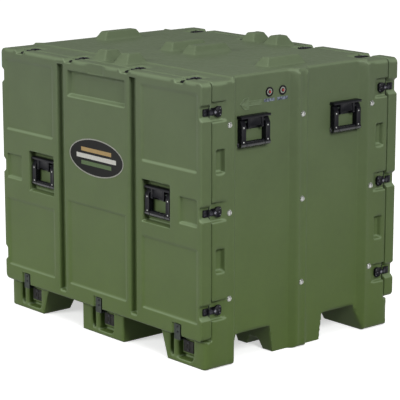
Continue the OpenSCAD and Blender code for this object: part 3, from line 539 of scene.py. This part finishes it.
def latch_places():
    """Name and place of each latch: seal line at y = 0, tub towards +Y, outwards +Z."""
    for end, sy, turn in (("front", -1, 0), ("rear", 1, 180)):
        spots = [(f"{end}_top_latch_{i + 1}", (x, sy * SEAL_Y, TOP_LATCH_TOP), 0)
                 for i, x in enumerate(TOP_LATCH_X)]
        for side, sx in (("right", 1), ("left", -1)):
            spots += [(f"{end}_{side}_latch_{i + 1}", (sx * SIDE_LATCH_X, sy * SEAL_Y, z), sx * 90)
                      for i, z in enumerate(SIDE_LATCH_Z)]
        for name, point, lean in spots:
            yield name, (Matrix.Translation(Vector(point) * MM)
                         @ Matrix.Rotation(math.radians(lean), 4, "Y")
                         @ Matrix.Rotation(math.radians(turn), 4, "Z"))


def stud(radius, z0, z1, x, y, material, sides=20):
    """A small domed rivet head or boss."""
    obj = disc(radius, z0, z1, sides, (x, y))
    high = z1 - 0.01
    round_edges(obj, lambda at, way: at.z > high, min(radius, z1 - z0) * 0.7, 3)
    return finish_in(obj, material)


def latch_wing():
    """Turning wing with its hub and hook, pivot at the origin."""
    wing = disc(33, 5, 12.3, 72)
    for point, normal in (((0, 1, 0), (0, -1, 0)), ((19.5, 0, 0), (1, 0, 0)), ((-19.5, 0, 0), (-1, 0, 0)),
                          ((9, 0, 0), (19.5, -10.5, 0)), ((-9, 0, 0), (-19.5, -10.5, 0))):
        trim(wing, point, normal)
    round_edges(wing, lambda at, way: abs(way.z) > 0.9 and abs(at.x) > 19.4, 3.4, 4)
    sink_faces(wing, lambda at, n: n.z > 0.9, 2.4, 1.6)
    soften(wing, 0.7)
    hub = disc(10, 3.6, 12.3, 40)
    soften(hub, 0.8)
    spine = block(-2.6, 2.6, 8, 30, 9, 12.2)
    soften(spine, 0.8)
    for part in (wing, hub, spine):
        finish_in(part, NYLON)
    neck = block(-6, 6, -27, -2, 7.6, 11.4)
    round_edges(neck, lambda at, way: abs(way.z) > 0.9 and at.y < -26, 2.5, 3)
    soften(neck, 0.6)
    bar = block(-11, 11, -23, -17, 7.6, 11.9)
    round_edges(bar, lambda at, way: abs(way.x) > 0.9 and at.z > 11, 1.8, 3)
    soften(bar, 0.5)
    for part in (neck, bar):
        finish_in(part, BLACKENED)
    studs = [stud(3.0, 9, 12.4, 0, 21, DULL_ZINC), stud(2.3, 9, 12.3, 11.6, 26.5, DULL_ZINC),
             stud(2.3, 9, 12.3, -11.6, 26.5, DULL_ZINC)]
    return moved(joined([wing, hub, spine, neck, bar, *studs], "latch_wing_pattern"), 0, PIVOT_U, 0)


def latch_base():
    """Base plate with its pivot and the square of the pivot's head."""
    plate = block(-14, 14, 4, 50, 0, 3)
    round_edges(plate, lambda at, way: abs(way.z) > 0.9, 4, 4)
    soften(plate, 0.6)
    post = disc(4.95, 2, 13, 32, (0, PIVOT_U))
    cap = disc(7.4, 12.8, 13.7, 40, (0, PIVOT_U))
    soften(cap, 0.3)
    square = disc(6.2, 13.2, 14.5, 4, (0, PIVOT_U))
    soften(square, 0.5)
    finish_in(plate, NYLON)
    finish_in(post, PHOSPHATED)
    finish_in(cap, BLACKENED)
    finish_in(square, DULL_ZINC)
    return joined([plate, post, cap, square], "latch_base_pattern")


def keeper():
    """Keeper on the lid: a plate with two cheeks and the lip that the hook holds."""
    plate = block(-13.5, 13.5, -34, -4, 0, 3)
    round_edges(plate, lambda at, way: abs(way.z) > 0.9 and at.y < -33, 4, 4)
    soften(plate, 0.6)
    parts = [plate]
    for side in (-1, 1):
        cheek = block(min(side * 13.5, side * 11), max(side * 13.5, side * 11), -31, -4, 1, 6.6)
        round_edges(cheek, lambda at, way: abs(way.x) > 0.9 and at.z > 6 and at.y < -30, 4, 4)
        soften(cheek, 0.6)
        parts.append(cheek)
    lip = block(-13.4, 13.4, -10, -6, 0, 7)
    round_edges(lip, lambda at, way: abs(way.x) > 0.9 and at.z > 6, 1.4, 3)
    parts.append(soften(lip, 0.4))
    for part in parts:
        finish_in(part, NYLON)
    return joined(parts, "keeper_pattern")


def rid(*patterns):
    for pattern in patterns:
        bpy.data.objects.remove(pattern)


wing_pattern, base_pattern, keeper_pattern = latch_wing(), latch_base(), keeper()
bases, keepers = [], {"front": [], "rear": []}
for name, matrix in latch_places():
    wing = smooth(copy_at(wing_pattern, matrix, name + "_wing"))
    stand_in(wing, "black_hardware", name)
    bases.append(copy_at(base_pattern, matrix, "base_" + name))
    keepers[name.split("_")[0]].append(copy_at(keeper_pattern, matrix, "keeper_" + name))
stand_in(smooth(joined(bases, "latch_base_plates")), "black_hardware", "latch_bases")
for end, parts in keepers.items():
    stand_in(smooth(joined(parts, end + "_keeper_plates")), "black_hardware", end + "_keepers")
rid(wing_pattern, base_pattern, keeper_pattern)

# Handles

SIDE_HANDLE_Y, SIDE_HANDLE_Z = 242, 893
LID_HANDLE_X, LID_HANDLE_Y, LID_HANDLE_Z = 367.5, 481, 609
HANDLES = {}
for side, sx in (("right", 1), ("left", -1)):
    for end, sy in (("front", -1), ("rear", 1)):
        HANDLES[f"{side}_{end}_handle"] = ((sx * PANEL_X, sy * SIDE_HANDLE_Y, SIDE_HANDLE_Z), sx * 90)
for end, sy, turn in (("front", -1, 0), ("rear", 1, 180)):
    for side, sx in (("left", -1), ("right", 1)):
        HANDLES[f"{end}_lid_{side}_handle"] = ((sx * LID_HANDLE_X, sy * LID_HANDLE_Y, LID_HANDLE_Z), turn)


def handle_plate():
    """Seat plate with its hood and the knuckle that carries the pin, seat at y = 0, outwards -Y."""
    plate = block(-46, 46, -3, 0, 6, 56)
    round_edges(plate, lambda at, way: abs(way.y) > 0.9 and at.z < 10, 5, 4)
    soften(plate, 0.7)
    hood = block(-75, 75, -27, 0, 50, 60)
    round_edges(hood, lambda at, way: abs(way.x) > 0.9 and at.y < -26 and at.z > 59, 3.5, 4)
    round_edges(hood, lambda at, way: abs(way.y) > 0.9 and at.z > 59, 3, 3)
    soften(hood, 0.8)
    knuckle = block(-29, 29, -22, 0, 18, 51)
    sink_faces(knuckle, lambda at, n: n.y < -0.9, 4, 2.5)
    round_edges(knuckle, lambda at, way: abs(way.x) > 0.9 and at.z < 19, 3, 3)
    soften(knuckle, 0.8)
    parts = [plate, hood, knuckle]
    for side in (-1, 1):
        rib = block(side * 34 - 5, side * 34 + 5, -26, 0, 10, 51)
        round_edges(rib, lambda at, way: abs(way.x) > 0.9 and at.z < 11 and at.y < -25, 7, 5)
        sink_faces(rib, lambda at, n: n.y < -0.99, 2, 1.2)
        parts.append(soften(rib, 0.8))
    for part in parts:
        finish_in(part, NYLON)
    return joined(parts, "handle_plate_pattern")


GRIP_R, GRIP_Y, GRIP_Z = 12, -15, -48
ARM_X, ARM_OUTER_X = 61, 72


def bail():
    """Folding bail: two arms, slanted at the pin and braced outside, and a grip with hollow ends."""
    parts = []
    for side in (-1, 1):
        arm = block(side * ARM_X - 11, side * ARM_X + 11, -26, -4, -46, 47)
        trim(arm, (0, -26, 24), (0, -0.9, 0.43))
        round_edges(arm, lambda at, way: abs(way.x) > 0.9 and at.z > 46, 6, 5)
        sink_faces(arm, lambda at, n: n.y < -0.99, 4.5, 1.6)
        parts.append(finish_in(soften(arm, 1.4, 3), NYLON))
        outer = side * ARM_OUTER_X
        for rise, lean in ((-31, 42), (-15, -42), (1, 42), (17, -42)):
            rib = block(outer - 1.8, outer + 1.8, -25.5, -4.5, rise - 1.8, rise + 1.8)
            turned(rib, lean, "X", (outer, GRIP_Y, rise))
            parts.append(finish_in(soften(rib, 0.6), NYLON))
        for rise in (-38, 16):
            head = stud(3.2, 0, 1.9, 0, 0, ZINC)
            turned(head, 90, "X")
            parts.append(moved(head, side * ARM_X, -24.6, rise))
    grip = disc(GRIP_R, -75, 75, 48)
    turned(grip, 90, "Y")
    moved(grip, 0, GRIP_Y, GRIP_Z)
    sink_faces(grip, lambda at, n: abs(n.x) > 0.9, 4, 6)
    parts.append(finish_in(soften(grip, 1.2, 3), GRIP_NYLON))
    for x in (-46, 46):
        collar = disc(GRIP_R, -3, 3, 48)
        turned(collar, 90, "Y")
        moved(collar, x, GRIP_Y, GRIP_Z)
        parts.append(finish_in(soften(collar, 1.0, 2), NYLON))
    return joined(parts, "bail_pattern")


plate_pattern, bail_pattern = handle_plate(), bail()
plates = {"side": [], "front_lid": [], "rear_lid": []}
for name, (point, turn) in HANDLES.items():
    matrix = Matrix.Translation(Vector(point) * MM) @ Matrix.Rotation(math.radians(turn), 4, "Z")
    stand_in(smooth(copy_at(bail_pattern, matrix, name + "_bail")), "black_hardware", name)
    where = next((key for key in plates if name.startswith(key)), "side")
    plates[where].append(copy_at(plate_pattern, matrix, "seat_" + name))
for where, parts in plates.items():
    stand_in(smooth(joined(parts, where + "_handle_seats")), "black_hardware", where + "_handle_plates")
rid(plate_pattern, bail_pattern)

# Tongues and strike plates

TONGUE_X = (-489, 0, 489)


def tongue():
    """Tongue on the lid's lower edge with the leg that reaches into the foot recess."""
    face = block(-17.5, 17.5, -512, -507, 100, 161)
    round_edges(face, lambda at, way: abs(way.y) > 0.9 and at.z > 160, 3, 3)
    sink_faces(face, lambda at, n: n.y < -0.9, 4, 1.2)
    soften(face, 0.7)
    leg = block(-17.5, 17.5, -511, -480.5, 100, 105)
    soften(leg, 0.9)
    for part in (face, leg):
        finish_in(part, PHOSPHATED)
    return joined([face, leg], "tongue_pattern")


def strike_plate():
    """Strike plate in a foot recess, with two slots in its sunk face."""
    plate = block(0, 58, -480, -476, 49, 95)
    sink_faces(plate, lambda at, n: n.y < -0.9, 5, 1.3)
    for x in (21, 37):
        cut(plate, block(x - 2.5, x + 2.5, -483, -477.2, 66, 78))
    round_edges(plate, lambda at, way: abs(way.y) > 0.9 and not 2 < at.x < 56, 3, 3)
    soften(plate, 0.4, angle=50)
    return finish_in(plate, BROWN)


tongue_pattern, strike_pattern = tongue(), strike_plate()
strikes = []
for end, turn in (("front", 0), ("rear", 180)):
    tongues = []
    for x in TONGUE_X:
        matrix = Matrix.Rotation(math.radians(turn), 4, "Z") @ Matrix.Translation((x * MM, 0, 0))
        tongues.append(copy_at(tongue_pattern, matrix, f"tongue_{end}_{x}"))
        strikes.append(copy_at(strike_pattern, matrix, f"strike_{end}_{x}"))
    stand_in(smooth(joined(tongues, end + "_lid_tongue_set")), "dark_steel", end + "_lid_tongues")
stand_in(smooth(joined(strikes, "strike_plate_set")), "black_hardware", "foot_strike_plates")
rid(tongue_pattern, strike_pattern)

# Bolts, valves and plates

BOLT_Y = (-375, 0, 375)
BOLT_Z = (266, 598, 930)


def side_bolt():
    """Slotted round-headed bolt, seated on z = 0 and pointing outwards along +Z."""
    head = disc(9.5, 1.5, 6.5, 48)
    round_edges(head, lambda at, way: at.z > 6.4, 3.4, 5)
    cut(head, block(-12, 12, -1.2, 1.2, 4.7, 8))
    shank = disc(4, -22.5, 2, 28)
    soften(shank, 0.8)
    for part in (head, shank):
        finish_in(part, ZINC)
    return joined([head, shank], "side_bolt_pattern")


def outwards(point, side):
    return Matrix.Translation(Vector(point) * MM) @ Matrix.Rotation(math.radians(side * 90), 4, "Y")


bolt_pattern = side_bolt()
bolts = [copy_at(bolt_pattern, outwards((side * BOLT_SEAT_X, y, z), side), f"bolt_{side}_{y}_{z}")
         for side in (-1, 1) for y in BOLT_Y for z in BOLT_Z]
stand_in(smooth(joined(bolts, "side_bolt_set")), "zinc_steel", "side_bolts")
rid(bolt_pattern)

VALVE_Y = (-153, -85)
VALVE_Z = 1028


def valve():
    """Pressure valve: black flange with a raised rim, pale sunk face and a barrel through the wall."""
    flange = disc(18.5, 0, 4, 64)
    sink_faces(flange, lambda at, n: n.z > 0.9, 6.4, 1.6)
    soften(flange, 0.7)
    face = disc(12.0, 2, 2.9, 64)
    sink_faces(face, lambda at, n: n.z > 0.9, 3.2, 0.4)
    soften(face, 0.2)
    collar = disc(7.4, 2.4, 3.6, 48)
    soften(collar, 0.4)
    barrel = disc(11, -24, 0.5, 40)
    soften(barrel, 0.8)
    for part in (flange, barrel, collar):
        finish_in(part, NYLON)
    finish_in(face, PALE)
    return joined([flange, face, collar, barrel], "valve_pattern")


def push_button():
    button = disc(5, -10, 7, 40)
    round_edges(button, lambda at, way: at.z > 6.9, 2.2, 4)
    return finish_in(button, RED)


valve_pattern, button_pattern = valve(), push_button()
valves = []
for i, y in enumerate(VALVE_Y):
    matrix = outwards((PANEL_X, y, VALVE_Z), 1)
    valves.append(copy_at(valve_pattern, matrix, f"valve_{i + 1}"))
    button = smooth(copy_at(button_pattern, matrix, f"valve_button_cap_{i + 1}"))
    stand_in(button, "red_plastic", f"valve_button_{i + 1}")
stand_in(smooth(joined(valves, "valve_set")), "black_plastic", "valve_bodies")
rid(valve_pattern, button_pattern)


def badge():
    """Oval plate with a raised pale rim round its printed face."""
    plate = disc(1, -1, 1, 128)
    turned(plate, 90, "X")
    plate.data.transform(Matrix.Diagonal((BADGE_HALF_WIDTH, 1, BADGE_HALF_HEIGHT, 1)))
    moved(plate, 0, BADGE_Y, BADGE_Z)
    plate.data.materials.append(PALE)
    plate.data.materials.append(PRINT)
    pick(plate, "FACE", lambda at, n: n.y < -0.9)
    bpy.ops.mesh.inset(thickness=4.5, depth=-0.5)
    plate.active_material_index = 1
    bpy.ops.object.material_slot_assign()
    done()
    return soften(plate, 0.25, 2, 30)


badge_pattern = badge()
badge_plate = smooth(copy_at(badge_pattern, Matrix.Identity(4), "oval_badge"))
stand_in(badge_plate, "badge_print", "nameplate")
rid(badge_pattern)


ARROW_TIP_Y, ARROW_END_Y, ARROW_Z = -301, -191, 994
ARROW_HEAD, ARROW_SHAFT = 22, 9


def arrow():
    """Plain raised arrow on the side panel, pointing to the front lid, with a lip round its face."""
    obj = block(PANEL_X - 1, PANEL_X + 2.4, ARROW_TIP_Y, ARROW_END_Y,
                ARROW_Z - ARROW_HEAD, ARROW_Z + ARROW_HEAD)
    for side in (-1, 1):
        trim(obj, (0, ARROW_TIP_Y, ARROW_Z), (0, -ARROW_HEAD, side * 2 * ARROW_HEAD))
        edge, beyond = ARROW_Z + side * ARROW_SHAFT, ARROW_Z + side * 30
        cut(obj, block(PANEL_X - 5, PANEL_X + 5, ARROW_TIP_Y + 2 * ARROW_HEAD, ARROW_END_Y + 11,
                       min(edge, beyond), max(edge, beyond)))
    sink_faces(obj, lambda at, n: n.x > 0.9, 2.2, 1.2)
    return finish_in(soften(obj, 0.5), OLIVE)


arrow_pattern = arrow()
side_arrow = smooth(copy_at(arrow_pattern, Matrix.Identity(4), "raised_arrow"))
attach(side_arrow, frame["nodes"]["body_shell"]["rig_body"])
rid(arrow_pattern)

# CAD nodes that stay

FINISHES = {
    RUBBER: ("front_gasket", "rear_gasket"),
    ALUMINIUM: ("left_rails", "right_rails"),
    ZINC: ("side_bolt_washers", "side_bolt_nuts"),
    PHOSPHATED: ("side_handle_pins", "front_lid_handle_pins", "rear_lid_handle_pins"),
    BLACKENED: ("body_rivets", "front_lid_rivets", "rear_lid_rivets"),
    NYLON: ("valve_nuts",),
    FILM: ("valve_labels",),
}
for finish, nodes in FINISHES.items():
    for node in nodes:
        for slot in frame["nodes"][node].material_slots:
            slot.material = finish

# Floor, light and camera, in metres and watts

FLOOR_GREY = "#4a4a49"
FLOOR_LIFT = 0.55
# Brightness of the studio's walls by the upward part of the direction
WALL_LEVELS = ((0.0, 0.05), (0.12, 0.16), (0.3, 0.38), (0.55, 0.13), (1.0, 0.02))
SOFTBOX_SIZE = 2.5
CASE_MIDDLE = (0, 0, 0.5)

bpy.ops.object.select_all(action="DESELECT")
bpy.ops.mesh.primitive_plane_add(size=60, location=(0, 0, 0))
floor = bpy.context.active_object
floor.name = "studio_floor"
floor_paint, floor_tree, _ = new_material("white_studio_floor")
rays = add(floor_tree, "ShaderNodeLightPath")
seen = add(floor_tree, "ShaderNodeMath", {
    0: rays.outputs["Is Camera Ray"], 1: rays.outputs["Is Glossy Ray"]}, operation="MAXIMUM")
seen = add(floor_tree, "ShaderNodeMath", {
    0: seen.outputs["Value"], 1: rays.outputs["Is Transmission Ray"]}, operation="MAXIMUM")
paint = add(floor_tree, "ShaderNodeMix", {
    "Factor": seen.outputs["Value"], "A": linear(FLOOR_GREY), "B": (1, 1, 1, 1)}, data_type="RGBA")
lift = add(floor_tree, "ShaderNodeMath", {0: seen.outputs["Value"], 1: FLOOR_LIFT}, operation="MULTIPLY")
matt = add(floor_tree, "ShaderNodeBsdfDiffuse", {"Color": paint.outputs["Result"]})
white = add(floor_tree, "ShaderNodeEmission", {"Color": (1, 1, 1, 1), "Strength": lift.outputs["Value"]})
both = add(floor_tree, "ShaderNodeAddShader", {0: matt.outputs["BSDF"], 1: white.outputs["Emission"]})
add(floor_tree, "ShaderNodeOutputMaterial", {"Surface": both.outputs["Shader"]})
floor.data.materials.append(floor_paint)

world = bpy.data.worlds.new("soft_studio")
scene.world = world
world.use_nodes = True
sky = world.node_tree
sky.nodes.clear()
way = add(sky, "ShaderNodeSeparateXYZ", {"Vector": add(sky, "ShaderNodeTexCoord").outputs["Generated"]})
# The walls are brightest low down, and little light comes along the ground or from overhead.
walls = add(sky, "ShaderNodeValToRGB", {"Fac": way.outputs["Z"]})
for place, level in WALL_LEVELS:
    stop = walls.color_ramp.elements.new(place)
    stop.color = (level, level, level, 1)
for extra in (walls.color_ramp.elements[-1], walls.color_ramp.elements[0]):
    walls.color_ramp.elements.remove(extra)
glow = add(sky, "ShaderNodeBackground", {"Color": walls.outputs["Color"], "Strength": 1.0})
add(sky, "ShaderNodeOutputWorld", {"Surface": glow.outputs["Background"]})


def lamp(name, place, power):
    """A soft box that points at the case."""
    light = bpy.data.lights.new(name, "AREA")
    light.shape = "DISK"
    light.size = SOFTBOX_SIZE
    light.energy = power
    obj = bpy.data.objects.new(name, light)
    obj.location = place
    obj.rotation_mode = "QUATERNION"
    obj.rotation_quaternion = (Vector(CASE_MIDDLE) - Vector(place)).to_track_quat("-Z", "Y")
    scene.collection.objects.link(obj)


lamp("key_softbox", (-1.5, -6.3, 3.4), 220)
lamp("fill_softbox", (5.6, -1.6, 4.0), 245)

eye, aim = Vector((5.689, -4.863, 2.149)), Vector((0.0266, 0.0, 0.4903))
camera = bpy.data.objects.new("photo_camera", bpy.data.cameras.new("photo_camera"))
camera.data.sensor_width = 36
camera.data.lens = 167.36
camera.data.clip_end = 100
camera.location = eye
camera.rotation_mode = "QUATERNION"
camera.rotation_quaternion = (aim - eye).to_track_quat("-Z", "Y")
scene.collection.objects.link(camera)
scene.camera = camera

bpy.context.view_layer.update()
